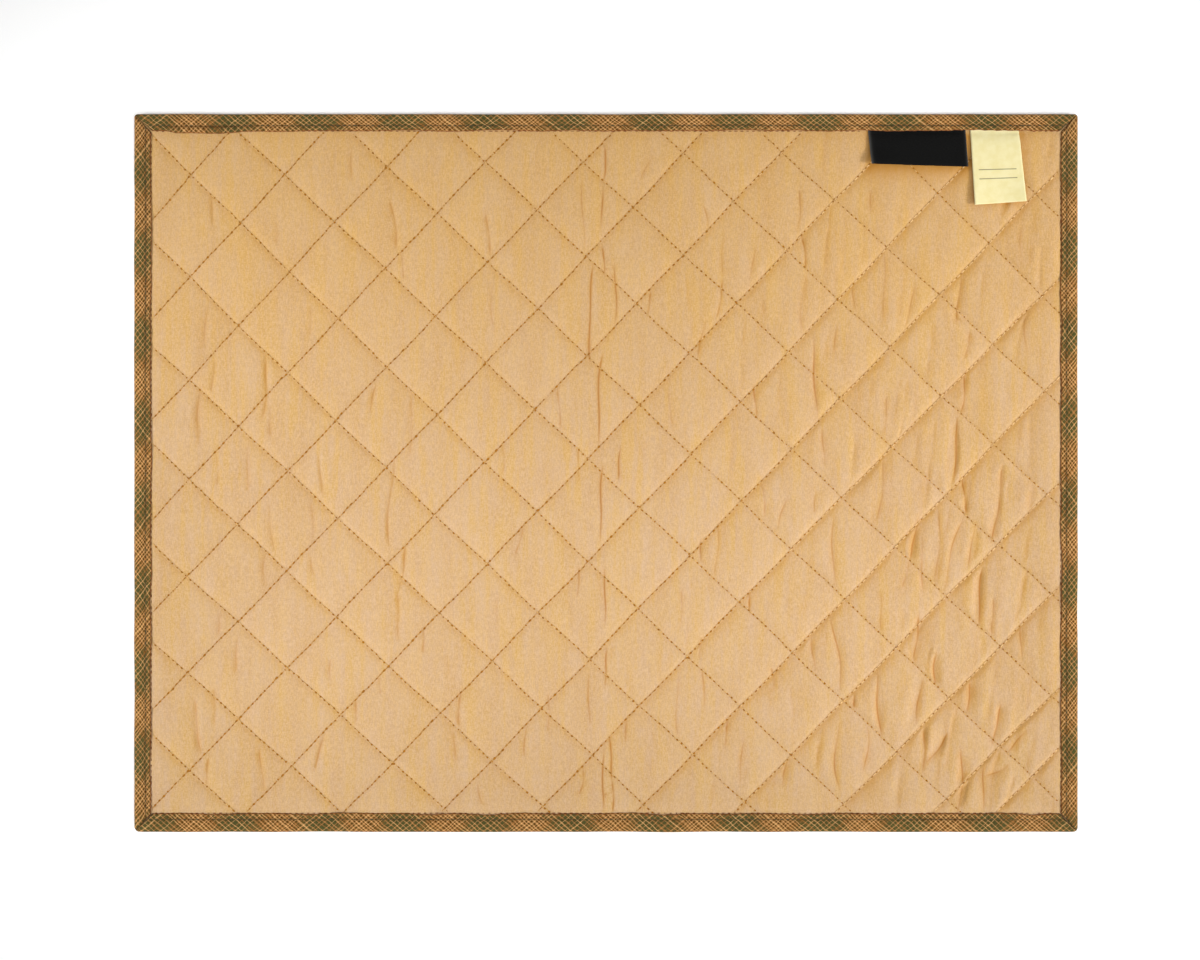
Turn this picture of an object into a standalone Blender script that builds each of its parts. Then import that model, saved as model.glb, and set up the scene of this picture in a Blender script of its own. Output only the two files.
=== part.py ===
"""Quilted cotton placemat lying flat, backing side up. Metres, +Z up.

The origin is on the surface the mat lies on, under its middle. X runs along the
long side and Y along the short one, so the labels hang from the far edge (+Y).
Two layers of cotton with a thin wadding are quilted into diamonds, and a folded
bias strip, mitred at its corners, closes the raw edge all the way round.
"""

import math
from collections import namedtuple

import bmesh
import bpy
from mathutils import Matrix, Vector

MM = 0.001

# Whole mat
WIDTH = 460 * MM  # along X
DEPTH = 350 * MM  # along Y
GAP = 0.3 * MM  # between neighbouring pieces

# Binding: one strip folded over the edge, a lip on either face
STRIP_THICK = 1.0 * MM
LIP_WIDTH = 8.8 * MM
BINDING_HEIGHT = 3.6 * MM
CORNER_ROUND = 1.5 * MM
FOLD_ROUND = 0.4 * MM

# Panel: a thin slab at its seams, swelling between them
SEAM_BOTTOM = STRIP_THICK + GAP
SEAM_TOP = BINDING_HEIGHT - STRIP_THICK - GAP
MARGIN_SHOWING = 0.8 * MM  # flat edge of the panel left beside each lip
SMALLEST_CELL = 3.0 * MM  # cells with less than this from middle to seam stay flat
FULL_CELL = 17.0 * MM  # from the middle of a whole diamond to its seams

# Crown of a whole diamond, from its seams inwards: each step's width and rise
CrownStep = namedtuple("CrownStep", "width_mm rise_mm")
CROWN_STEPS = (CrownStep(3.0, 0.85), CrownStep(5.5, 0.45))
CROWN_TIP = 0.15 * MM
UNDERSIDE_STEP = CrownStep(4.0, SEAM_BOTTOM / MM)  # down to where the mat lies flat
HALF_CELL = 0.5  # cells over this share of a whole one reach the full rise and drop
FLATTER_AT_LEFT = 0.15  # share of the crown missing at the left edge

# Quilting seams: where each crosses the mat's middle line x = 0, and its angle
Seam = namedtuple("Seam", "height_mm angle_deg")
FALLING_SEAMS = tuple(
    Seam(*row)
    for row in (
        (337.0, -44.0),
        (296.0, -44.5),
        (234.5, -42.3),
        (191.0, -43.2),
        (141.5, -42.7),
        (97.0, -43.3),
        (48.5, -43.4),
        (-2.0, -43.3),
        (-50.5, -43.5),
        (-98.5, -43.0),
        (-144.5, -43.3),
        (-192.0, -42.7),
        (-236.0, -42.2),
        (-283.0, -42.5),
        (-334.0, -42.8),
    )
)
RISING_SEAMS = tuple(
    Seam(*row)
    for row in (
        (371.0, 47.6),
        (316.0, 47.8),
        (264.5, 46.8),
        (216.0, 46.6),
        (164.0, 46.3),
        (114.0, 46.5),
        (67.0, 46.2),
        (16.5, 46.2),
        (-33.5, 46.1),
        (-82.5, 46.1),
        (-131.0, 45.9),
        (-181.0, 45.7),
        (-230.0, 45.7),
        (-279.5, 45.2),
        (-325.0, 45.1),
        (-375.0, 47.0),
    )
)

# Labels: sheets hanging from the far lip
LABEL_THICK = 1.0 * MM
LABEL_START = 0.7 * MM  # from the lip to a label's underside
LABEL_SPAN = 4.0 * MM  # grid spacing over a label
Label = namedtuple("Label", "name left_mm width_mm drop_mm lean_deg end_rise_mm colour roughness")
LABELS = (
    Label("black_label", 128.0, 47.4, 14.4, 2.5, -1.6, (0.012, 0.012, 0.013), 0.55),
    Label("care_label", 177.6, 24.2, 33.2, 4.3, 1.8, (0.89, 0.82, 0.48), 0.60),
)
# How high a label's underside runs, from the lip down the label
LabelHeight = namedtuple("LabelHeight", "from_lip_mm height_mm")
LABEL_HEIGHTS = tuple(
    LabelHeight(*row)
    for row in (
        (0.0, 2.70),
        (1.0, 3.15),
        (4.5, 4.30),
        (10.0, 4.50),
        (36.0, 4.60),
    )
)
LABEL_LIFT = 0.9 * MM  # how far the free end curls up
LIFT_REACH = 9.0 * MM  # over this much of the label

PANEL_COLOUR = (0.74, 0.47, 0.22)
BINDING_COLOUR = (0.14, 0.11, 0.05)


def clear_scene():
    for obj in list(bpy.data.objects):
        bpy.data.objects.remove(obj, do_unlink=True)


def new_collection(name, hidden=False):
    collection = bpy.data.collections.new(name)
    bpy.context.scene.collection.children.link(collection)
    collection.hide_render = hidden
    return collection


def new_material(name, colour, roughness):
    material = bpy.data.materials.new(name)
    material.use_nodes = True
    shader = material.node_tree.nodes["Principled BSDF"]
    shader.inputs["Base Color"].default_value = (*colour, 1.0)
    shader.inputs["Roughness"].default_value = roughness
    shader.inputs["Metallic"].default_value = 0.0
    material.diffuse_color = (*colour, 1.0)
    return material


def object_from(bm, name, collection, parent=None, material=None):
    mesh = bpy.data.meshes.new(name)
    bm.to_mesh(mesh)
    bm.free()
    if material:
        mesh.materials.append(material)
    obj = bpy.data.objects.new(name, mesh)
    collection.objects.link(obj)
    obj.parent = parent
    return obj


def box_mesh(size_x, size_y, bottom, top):
    """A box centred on the Z axis between two heights."""
    bm = bmesh.new()
    bmesh.ops.create_cube(bm, size=1.0)
    bmesh.ops.scale(bm, vec=(size_x, size_y, top - bottom), verts=bm.verts)
    bmesh.ops.translate(bm, vec=(0.0, 0.0, (bottom + top) / 2), verts=bm.verts)
    return bm


def cut_with_plane(bm, point, normal):
    geometry = list(bm.verts) + list(bm.edges) + list(bm.faces)
    bmesh.ops.bisect_plane(bm, geom=geometry, dist=1e-6, plane_co=point, plane_no=normal)


def middle_to_edge(face):
    """The shortest way from a flat face's middle to one of its sides."""
    middle = face.calc_center_median_weighted()
    shortest = math.inf
    for edge in face.edges:
        start, end = (vert.co for vert in edge.verts)
        along = (end - start).normalized()
        to_middle = middle - start
        shortest = min(shortest, (to_middle - along * to_middle.dot(along)).length)
    return shortest


def facing(bm, up, half_x, half_y):
    """Faces pointing up or down whose middle is inside the window between the lips."""
    found = []
    for face in bm.faces:
        middle = face.calc_center_median()
        if face.normal.z * up > 0.9 and abs(middle.x) < half_x and abs(middle.y) < half_y:
            found.append(face)
    return found


def swell(bm, face, step, rise):
    """Extrudes a cell's face by one step and draws it in towards its own middle."""
    middle = face.calc_center_median_weighted()
    reach = middle_to_edge(face)
    size = min(1.0, reach / FULL_CELL)
    inner = bmesh.ops.extrude_discrete_faces(bm, faces=[face])["faces"][0]
    bmesh.ops.scale(
        bm,
        vec=Vector((1, 1, 1)) * (1.0 - step.width_mm * MM * size / reach),
        space=Matrix.Translation(-middle),
        verts=inner.verts,
    )
    bmesh.ops.translate(bm, vec=(0.0, 0.0, rise), verts=inner.verts)
    return inner


def height_share(face):
    """How much of a whole diamond's rise or drop a cell of this size takes."""
    return min(1.0, middle_to_edge(face) / (HALF_CELL * FULL_CELL))


def crown_cell(bm, face):
    """Raises one quilted cell in narrowing steps, with a low tip in its middle."""
    across = face.calc_center_median().x / (WIDTH / 2)
    share = height_share(face) * (1.0 - FLATTER_AT_LEFT * (1.0 - across) / 2)
    for step in CROWN_STEPS:
        face = swell(bm, face, step, step.rise_mm * MM * share)
    tip = bmesh.ops.poke(bm, faces=[face], center_mode="MEAN_WEIGHTED")["verts"]
    bmesh.ops.translate(bm, vec=(0.0, 0.0, CROWN_TIP * share), verts=tip)


def lower_cell(bm, face):
    """Drops one cell of the underside to the surface, where it lies flat."""
    swell(bm, face, UNDERSIDE_STEP, -UNDERSIDE_STEP.rise_mm * MM * height_share(face))


def build_panel(collection, parent):
    size_x = WIDTH - 2 * (STRIP_THICK + GAP)
    size_y = DEPTH - 2 * (STRIP_THICK + GAP)
    half_x = WIDTH / 2 - LIP_WIDTH - MARGIN_SHOWING
    half_y = DEPTH / 2 - LIP_WIDTH - MARGIN_SHOWING
    bm = box_mesh(size_x, size_y, SEAM_BOTTOM, SEAM_TOP)
    for side in (-1, 1):
        cut_with_plane(bm, Vector((side * half_x, 0, 0)), Vector((1, 0, 0)))
        cut_with_plane(bm, Vector((0, side * half_y, 0)), Vector((0, 1, 0)))
    for seam in FALLING_SEAMS + RISING_SEAMS:
        angle = math.radians(seam.angle_deg)
        across = Vector((-math.sin(angle), math.cos(angle), 0))
        cut_with_plane(bm, Vector((0, seam.height_mm * MM, 0)), across)
    bm.normal_update()
    for up, shape in ((1, crown_cell), (-1, lower_cell)):
        for face in facing(bm, up, half_x, half_y):
            if middle_to_edge(face) > SMALLEST_CELL:
                shape(bm, face)
    material = new_material("backing_cotton", PANEL_COLOUR, 0.85)
    panel = object_from(bm, "quilted_panel", collection, parent, material)
    panel.data.shade_smooth()
    panel.data.set_sharp_from_angle(angle=math.radians(25))
    return panel


def round_edges(bm, radius, chosen):
    bmesh.ops.bevel(
        bm,
        geom=[edge for edge in bm.edges if chosen(edge)],
        offset=radius,
        segments=3,
        profile=0.5,
        affect="EDGES",
    )


def is_upright(edge):
    start, end = (vert.co for vert in edge.verts)
    return (end - start).xy.length < MM / 100


def is_rim(edge):
    """An edge where the top or the bottom meets the outer wall."""
    return sum(abs(face.normal.z) > 0.9 for face in edge.link_faces) == 1


def add_cut(target, cutter, name):
    cutter.hide_render = True
    cutter.display_type = "WIRE"
    cut = target.modifiers.new(name, "BOOLEAN")
    cut.operation = "DIFFERENCE"
    cut.solver = "EXACT"
    cut.object = cutter


def build_binding(collection, cutters, parent):
    """A ring of C section: outer fold, a lip above and a lip below the panel's edge."""
    bm = box_mesh(WIDTH, DEPTH, 0.0, BINDING_HEIGHT)
    round_edges(bm, CORNER_ROUND, is_upright)
    bm.normal_update()
    round_edges(bm, FOLD_ROUND, is_rim)
    material = new_material("check_bias_cotton", BINDING_COLOUR, 0.85)
    binding = object_from(bm, "edge_binding", collection, parent, material)

    window = box_mesh(
        WIDTH - 2 * LIP_WIDTH,
        DEPTH - 2 * LIP_WIDTH,
        -BINDING_HEIGHT,
        2 * BINDING_HEIGHT,
    )
    add_cut(binding, object_from(window, "binding_window", cutters), "window")
    slot = box_mesh(
        WIDTH - 2 * STRIP_THICK,
        DEPTH - 2 * STRIP_THICK,
        STRIP_THICK,
        BINDING_HEIGHT - STRIP_THICK,
    )
    add_cut(binding, object_from(slot, "binding_slot", cutters), "slot")
    return binding


def label_height(from_lip):
    """Height of a label's underside, read between the rows of LABEL_HEIGHTS."""
    from_lip_mm = from_lip / MM
    for near, far in zip(LABEL_HEIGHTS, LABEL_HEIGHTS[1:]):
        if from_lip_mm <= far.from_lip_mm:
            share = (from_lip_mm - near.from_lip_mm) / (far.from_lip_mm - near.from_lip_mm)
            return (near.height_mm + share * (far.height_mm - near.height_mm)) * MM
    return LABEL_HEIGHTS[-1].height_mm * MM


def build_label(label, collection, parent):
    """A sheet from the far lip, over the panel's edge and crowns, its end lifted."""
    width, drop = label.width_mm * MM, label.drop_mm * MM
    top_y = DEPTH / 2 - LIP_WIDTH - LABEL_START
    bm = bmesh.new()
    bmesh.ops.create_grid(
        bm,
        x_segments=round(width / LABEL_SPAN),
        y_segments=round(drop / LABEL_SPAN) * 2,
        size=0.5,
    )
    lean = math.tan(math.radians(label.lean_deg))
    for vert in bm.verts:
        along, down = vert.co.x + 0.5, 0.5 - vert.co.y
        from_lip = down * (drop - label.end_rise_mm * MM * (along - 0.5))
        curl = max(0.0, 1.0 - (1.0 - down) * drop / LIFT_REACH)
        vert.co = (
            label.left_mm * MM + along * width + from_lip * lean,
            top_y - from_lip,
            label_height(from_lip) + LABEL_LIFT * curl**2,
        )
    material = new_material(label.name + "_satin", label.colour, label.roughness)
    sheet = object_from(bm, label.name, collection, parent, material)
    wall = sheet.modifiers.new("thickness", "SOLIDIFY")
    wall.thickness = LABEL_THICK
    wall.offset = 1.0
    wall.use_even_offset = False
    sheet.data.shade_smooth()
    return sheet


def build_placemat():
    clear_scene()
    collection = new_collection("quilted_placemat")
    cutters = new_collection("cutters", hidden=True)
    origin = bpy.data.objects.new("placemat_origin", None)
    collection.objects.link(origin)
    build_panel(collection, origin)
    build_binding(collection, cutters, origin)
    for label in LABELS:
        build_label(label, collection, origin)


build_placemat()
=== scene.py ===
import bpy
import math
import numpy as np
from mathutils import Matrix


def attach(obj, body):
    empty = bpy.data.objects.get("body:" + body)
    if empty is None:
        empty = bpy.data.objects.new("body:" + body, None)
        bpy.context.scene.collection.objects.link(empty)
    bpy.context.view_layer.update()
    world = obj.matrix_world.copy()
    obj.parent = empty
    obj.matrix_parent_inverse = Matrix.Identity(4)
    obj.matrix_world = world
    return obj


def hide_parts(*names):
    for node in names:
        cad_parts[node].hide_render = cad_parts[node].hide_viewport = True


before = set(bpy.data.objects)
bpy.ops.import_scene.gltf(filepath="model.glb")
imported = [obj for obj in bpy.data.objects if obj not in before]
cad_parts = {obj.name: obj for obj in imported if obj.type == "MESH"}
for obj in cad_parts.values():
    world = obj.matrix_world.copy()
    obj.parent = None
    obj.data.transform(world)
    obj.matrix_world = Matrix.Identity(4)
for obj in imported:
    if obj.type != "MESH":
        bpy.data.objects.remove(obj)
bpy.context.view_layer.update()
mm = 0.001

photoView = {
    "lens": 85.0,
    "sensor": 36.0,
    "seenWidth": 584.4,  # mm of table across the picture
    "photo": (1200, 960),  # pixels
    "matMiddle": (606, 473),
    "clothHeight": 3.5,  # mm, the height that is to scale
}

studio = {
    "skyStrength": 0.5,
    "tableWide": 12.0,
    "tableGlow": 0.18,  # lit from beneath, as a cut-out's ground is
}

# Place, aim, length and width in metres, power in watts, and the spread in degrees, which a grid narrows
lamps = {
    "leftStrip": ((-0.80, -0.14, 0.433), (-0.145, 0.0), (0.42, 0.15), 0.255, 22),
    "rightStrip": ((0.80, -0.13, 0.43), (0.141, 0.016), (0.43, 0.15), 0.247, 22),
    "overheadSoftbox": ((0.80, -1.4, 1.4), (0.0, 0.0), (1.3, 1.3), 19.2, 180),
}


def deselectAll():
    if bpy.context.object and bpy.context.object.mode != "OBJECT":
        bpy.ops.object.mode_set(mode="OBJECT")
    bpy.ops.object.select_all(action="DESELECT")


def pick(*chosen):
    deselectAll()
    for each in chosen:
        each.select_set(True)
    bpy.context.view_layer.objects.active = chosen[0]


def startEditing(action):
    bpy.ops.object.mode_set(mode="EDIT")
    bpy.ops.mesh.select_all(action=action)


def stopEditing():
    bpy.ops.mesh.select_all(action="DESELECT")
    bpy.ops.object.mode_set(mode="OBJECT")


def vectorsOf(items, kind):
    flat = np.empty(len(items) * 3)
    items.foreach_get(kind, flat)
    return flat.reshape(-1, 3)


def pointsOf(piece):
    return vectorsOf(piece.data.vertices, "co")


def putPoints(piece, across, up, height):
    points = np.stack((across, up, height), axis=1) * mm
    piece.data.vertices.foreach_set("co", points.ravel())
    piece.data.update()


def added(operator, name, location=(0, 0, 0), **settings):
    deselectAll()
    operator(location=location, **settings)
    bpy.context.object.name = name
    return bpy.context.object


def addGrid(name, columns, rows):
    # a sheet from -1 to 1 each way, and its points
    grid = added(bpy.ops.mesh.primitive_grid_add, name, x_subdivisions=columns, y_subdivisions=rows, size=2)
    return grid, pointsOf(grid)


def thicken(piece, thickness, offset):
    wall = piece.modifiers.new("clothThickness", "SOLIDIFY")
    wall.thickness = thickness * mm
    wall.offset = offset
    bpy.ops.object.modifier_apply(modifier=wall.name)


def writeShade(piece, name, values):
    shade = piece.data.attributes.new(name, "FLOAT", "POINT")
    shade.data.foreach_set("value", np.asarray(values, dtype=np.float32))


def writeMap(piece, layer, along, across):
    # the cloth's own along and across in mm, written in tenths of a metre
    corners = np.empty(len(piece.data.loops), dtype=np.int32)
    piece.data.loops.foreach_get("vertex_index", corners)
    layer.data.foreach_set("uv", (np.stack((along, across), axis=1)[corners] / 100).ravel())


def smooth(value, low, high):
    share = np.clip((value - low) / (high - low), 0, 1)
    return share * share * (3 - 2 * share)


def softNoise(across, up, size, seed, stretch=1.0):
    # slow unevenness between about -1 and 1, a few crossed waves of that size in mm
    dice = np.random.default_rng(seed)
    total = np.zeros(np.shape(across))
    for turn in range(9):
        angle = dice.uniform(0, math.pi)
        wave = size * dice.uniform(0.7, 1.6)
        place = across * math.cos(angle) + up * math.sin(angle) / stretch
        total += np.sin(math.tau * place / wave + dice.uniform(0, 7))
    return total / 4.0


# Camera, straight above as in the photograph


def setCamera():
    (wide, tall), (across, down) = photoView["photo"], photoView["matMiddle"]
    pixel = photoView["seenWidth"] / wide
    reach = photoView["seenWidth"] * photoView["lens"] / photoView["sensor"] + photoView["clothHeight"]
    place = ((wide / 2 - across) * pixel * mm, (down - tall / 2) * pixel * mm, reach * mm)
    camera = added(bpy.ops.object.camera_add, "cameraAbove", location=place, rotation=(0, 0, 0))
    camera.data.lens = photoView["lens"]
    camera.data.sensor_width = photoView["sensor"]
    camera.data.clip_start = 0.01
    bpy.context.scene.camera = camera


def addLamp(name, place, aim, size, power, spread):
    lamp = added(bpy.ops.object.light_add, name, type="AREA", location=place)
    lamp.data.shape = "RECTANGLE"
    lamp.data.size, lamp.data.size_y = size
    lamp.data.energy = power
    lamp.data.spread = math.radians(spread)
    across, up = aim[0] - place[0], aim[1] - place[1]
    tilt = math.atan2(math.hypot(across, up), place[2])
    lamp.rotation_euler = (tilt, 0, math.atan2(-across, up))


def setSky():
    world = bpy.data.worlds.new("paleRoom")
    bpy.context.scene.world = world
    world.use_nodes = True
    sky = world.node_tree.nodes["Background"]
    sky.inputs["Color"].default_value = (1, 1, 1, 1)
    sky.inputs["Strength"].default_value = studio["skyStrength"]
    bpy.context.scene.view_settings.view_transform = "Standard"


setCamera()
for lampName, lampMade in lamps.items():
    addLamp(lampName, *lampMade)
setSky()
print("camera and lights set")

# Materials

making = {}  # the node tree and shader that the functions below add to


def paint(red, green, blue):
    # a colour as it shows on a screen, 0 to 255, as the shader wants it
    def linear(value):
        value /= 255
        return value / 12.92 if value <= 0.04045 else ((value + 0.055) / 1.055) ** 2.4

    return (linear(red), linear(green), linear(blue), 1.0)


def startMaterial(name, roughness, sheen=0.0, specular=0.3):
    material = bpy.data.materials.new(name)
    material.use_nodes = True
    shader = material.node_tree.nodes["Principled BSDF"]
    finish = {"Roughness": roughness, "Specular IOR Level": specular, "Sheen Weight": sheen}
    for socket, value in finish.items():
        shader.inputs[socket].default_value = value
    shader.inputs["Sheen Roughness"].default_value = 0.5
    making.update(tree=material.node_tree, shader=shader)
    return material


def addNode(kind, inputs, output=0, **settings):
    node = making["tree"].nodes.new("ShaderNode" + kind)
    for name, value in settings.items():
        setattr(node, name, value)
    for name, value in inputs.items():
        if isinstance(value, bpy.types.NodeSocket):
            making["tree"].links.new(value, node.inputs[name])
        elif node.inputs[name].type == "RGBA" and len(value) == 3:
            node.inputs[name].default_value = paint(*value)
        else:
            node.inputs[name].default_value = value
    return node.outputs[output]


def reckon(operation, *values):
    return addNode("Math", dict(enumerate(values)), operation=operation)


def plus(first, second):
    return reckon("ADD", first, second)


def times(first, second, added=None):
    if added is None:
        return reckon("MULTIPLY", first, second)
    return reckon("MULTIPLY_ADD", first, second, added)


def blend(share, first, second, how="MIX"):
    return addNode("Mix", {"Factor": share, 6: first, 7: second}, 2, data_type="RGBA", blend_type=how)


def remap(value, low, high, toLow=0.0, toHigh=1.0):
    ends = {"Value": value, "From Min": low, "From Max": high, "To Min": toLow, "To Max": toHigh}
    return addNode("MapRange", ends, "Result", interpolation_type="SMOOTHSTEP")


def stretched(source, scale):
    return addNode("Mapping", {"Vector": source, "Scale": scale}, "Vector")


def placeInMm(scale=(1, 1, 1)):
    # the object's own coordinates in mm, stretched
    return stretched(addNode("TexCoord", {}, "Object"), tuple(1000 * each for each in scale))


def attribute(name):
    return addNode("Attribute", {}, "Fac", attribute_name=name)


def ownMap(name):
    return addNode("UVMap", {}, "UV", uv_map=name)


def part(place, axis):
    return addNode("SeparateXYZ", {"Vector": place}, axis)


def noise(place, scale, detail=2.0, roughness=0.5):
    made = {"Vector": place, "Scale": scale, "Detail": detail, "Roughness": roughness}
    return addNode("TexNoise", made, "Fac")


def threadWave(place, pitch, distortion, direction):
    # thin bands pitch mm apart
    bands = {"Vector": place, "Scale": math.tau / (20 * pitch), "Distortion": distortion}
    bands.update({"Detail": 1.0, "Detail Scale": 1.0})
    return addNode("TexWave", bands, "Fac", bands_direction=direction, wave_profile="SIN")


def finishShader(colour, height, strength, distance):
    bump = addNode("Bump", {"Height": height, "Strength": strength, "Distance": distance * mm}, "Normal")
    making["tree"].links.new(colour, making["shader"].inputs["Base Color"])
    making["tree"].links.new(bump, making["shader"].inputs["Normal"])


cotton = {
    "warm": (184, 148, 105),
    "pale": (190, 158, 123),
    "streak": (193, 154, 86),
    "slub": (216, 182, 149),
    # painted shade: the colour that creases, seams and the labels' shadows turn the cloth towards
    "fold": (182, 128, 52),
    # painted shade along the core of a crease
    "creaseShadeLine": (168, 108, 40),
    "golden": (1.02, 0.985, 0.80, 1),
    "farTone": (1.03, 0.98, 0.81, 1),  # a little yellower towards the labels' side
    "flank": (1.06, 0.975, 0.73, 1),  # warmer where the cloth turns away from the light
    "broadTone": ((1.0, 0.35, 1), 0.035, 3.0, 0.6),
    "patchTone": ((1.0, 0.2, 1), 0.16, 3.0, 0.55),
    "streaks": ((1.0, 0.1, 1), 0.2, 3.0, 0.6),
    "weft": ((0.22, 1.0, 1), 2.9, 2.0, 0.75),
    "warp": ((1.0, 0.2, 1), 2.9, 2.0, 0.75),
    "goldPatches": ((1.0, 0.12, 1), 0.4, 2.0, 0.6),
    "goldMottle": ((1.0, 0.3, 1), 1.1, 2.0, 0.6),
    "streakShare": 0.55,
    "slubShare": 0.54,
    "farFrom": (-60, 190),  # mm up the mat
    "threadPitch": 0.62,
    "lineWide": (0.05, 0.65),  # mm either side of a crease, where its line starts to fade and ends
    "roughened": 0.12,
}


def cottonNoise(name):
    # on the object's coordinates, with its stretch, scale, detail and roughness
    stretch, *made = cotton[name]
    return noise(placeInMm(stretch), *made)


def makeCotton():
    material = startMaterial("tanCotton", 0.88, sheen=0.12, specular=0.15)
    place = placeInMm()
    tone = times(cottonNoise("patchTone"), 0.5, times(cottonNoise("broadTone"), 0.5))
    colour = blend(remap(tone, 0.30, 0.70), cotton["warm"], cotton["pale"])
    streaks = remap(cottonNoise("streaks"), 0.46, 0.66, 0.0, cotton["streakShare"])
    colour = blend(streaks, colour, cotton["streak"])
    slubs = plus(times(cottonNoise("weft"), 0.4), times(cottonNoise("warp"), 0.6))
    colour = blend(remap(slubs, 0.38, 0.62, 0.0, cotton["slubShare"]), colour, cotton["slub"])
    golden = times(cottonNoise("goldPatches"), 0.5, times(cottonNoise("goldMottle"), 0.5))
    colour = blend(remap(golden, 0.36, 0.64), colour, cotton["golden"], "MULTIPLY")
    colour = blend(remap(part(place, "Y"), *cotton["farFrom"]), colour, cotton["farTone"], "MULTIPLY")
    # painted shade in creases, beside seams, past rising seams and under the labels
    colour = blend(attribute("foldShade"), colour, cotton["fold"])
    # a thin line of painted shade where the cloth is creased, drawn from the distance to it
    offLine = reckon("ABSOLUTE", times(slubs, 0.5, plus(attribute("creaseOff"), -0.25)))
    line = times(remap(offLine, *cotton["lineWide"], 1.0, 0.0), attribute("creaseLineShade"))
    colour = blend(line, colour, cotton["creaseShadeLine"])
    colour = blend(attribute("flankShade"), colour, cotton["flank"], "MULTIPLY")
    over, under = (threadWave(place, cotton["threadPitch"], 0.4, axis) for axis in "XY")
    finishShader(colour, times(slubs, 1.6, times(over, under)), 0.45, cotton["roughened"])
    return material


check = {
    "brown": (74, 44, 8),
    "olive": (80, 83, 45),
    "rust": (158, 101, 46),
    "peach": (250, 201, 132),
    # painted shade along the lip's turned edge and beneath the lip
    "lipEdgeShade": (126, 62, 24),
    # painted shade in the stitched groove and along the mitre folds
    "groove": (66, 38, 12),
    "angle": 40.0,
    "repeat": 26.2,  # mm across the threads
    "coarsePitch": 1.95,
    "finePitch": 1.5,
    "weftStart": -2.36,  # radians, so that both threads turn green at one place
    "threadPitch": 0.46,
    "rustShare": 0.40,
    "lightLines": 0.79,
    "fineLines": 0.45,
    "darkLines": 0.58,
}


def makeCheck():
    material = startMaterial("oliveCheckCotton", 0.9, sheen=0.06, specular=0.1)
    # the strip's own along and across, in mm, turned to the two thread directions
    source = ownMap("stripWay")
    angle = math.radians(check["angle"])
    along = times(part(source, "X"), 100 * math.sin(angle))
    across = times(part(source, "Y"), 100 * math.cos(angle))
    wavy = plus(noise(source, 18.0, 1.0), -0.5)

    def uneven(place, scale, shift):
        # changes from one thread to the next, and not along a thread
        inputs = {"W": plus(place, shift), "Scale": scale, "Detail": 0.0}
        return addNode("TexNoise", inputs, "Fac", noise_dimensions="1D")

    def lines(place, pitch, low, high):
        return remap(reckon("COSINE", times(place, math.tau / pitch)), low, high)

    def threadSet(place, offset, shift):
        zone = reckon("COSINE", times(place, math.tau / check["repeat"], offset))
        zone = remap(times(uneven(place, 0.2, shift), 0.7, plus(zone, -0.35)), -0.55, 0.65)
        spaced = plus(uneven(place, 0.45, shift + 31), place)
        strength = remap(uneven(spaced, 0.52, shift + 57), 0.28, 0.72, 0.72, 1.08)
        light = times(lines(spaced, check["coarsePitch"], 0.35, 0.95), strength)
        fine = times(lines(spaced, check["finePitch"], 0.2, 0.9), strength)
        dark = lines(plus(spaced, check["finePitch"] / 2), check["finePitch"], 0.35, 0.9)
        inRust = times(fine, check["fineLines"], check["rustShare"])
        inRust = times(dark, -check["darkLines"], inRust)
        inOlive = times(light, check["lightLines"])
        tone = addNode("Mix", {"Factor": zone, 2: inOlive, 3: inRust}, data_type="FLOAT")
        tone = times(uneven(place, 2.6, shift + 83), 0.2, plus(tone, -0.1))
        colour = blend(remap(tone, -0.2, 0.08), check["brown"], check["olive"])
        colour = blend(remap(tone, 0.02, 0.52), colour, check["rust"])
        return blend(remap(tone, 0.45, 1.05), colour, check["peach"])

    first = plus(reckon("SUBTRACT", along, across), wavy)
    second = plus(plus(along, across), wavy)
    warp = threadSet(first, 0.0, 5.0)
    weft = threadSet(second, check["weftStart"], 211.0)
    beat = math.tau / check["threadPitch"]
    lace = times(reckon("SINE", times(first, beat)), reckon("SINE", times(second, beat)))
    colour = blend(remap(lace, -0.5, 0.5, 0.05, 0.82), warp, weft)
    grain = noise(source, 140.0)
    worn = remap(grain, 0.3, 0.7, 0.74, 1.12)
    colour = blend(1.0, colour, addNode("CombineColor", {0: worn, 1: worn, 2: worn}), "MULTIPLY")
    # painted shade along the lip's turned edge and beneath the lip
    colour = blend(attribute("edgeShade"), colour, check["lipEdgeShade"])
    # painted shade in the stitched groove and along the mitre folds
    colour = blend(attribute("grooveShade"), colour, check["groove"])
    finishShader(colour, times(grain, 0.8, lace), 0.3, 0.12)
    return material


# Each thread's two colours, and how far it turns to the lit colour towards the right, where seams stand up
threads = {
    "goldenThread": ((204, 158, 84), (214, 172, 106), 0.0),
    "sunlitThread": ((184, 132, 60), (198, 150, 82), 0.55),
    # dark discs that stand for each needle hole: painted shade, with some of the thread's own darker colour
    "needleHole": ((142, 88, 14), (170, 112, 22), 0.0),
    "rustThread": ((104, 58, 26), (140, 80, 36), 0.0),
    "oliveThread": ((58, 54, 30), (78, 72, 38), 0.0),
}
threadLit = (242, 208, 154)


def makeThread(name, dark, light, litShare):
    material = startMaterial(name, 0.7, sheen=0.1, specular=0.25)
    place = placeInMm()
    colour = blend(remap(noise(place, 0.9), 0.35, 0.65), dark, light)
    colour = blend(remap(part(place, "X"), -60, 170, 0.0, litShare), colour, threadLit)
    finishShader(colour, noise(place, 6.0, 1.0), 0.4, 0.05)
    return material


satin = {"dark": (12, 12, 12), "light": (20, 20, 19), "paleEdge": (96, 94, 90), "ribPitch": 0.42}


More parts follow.
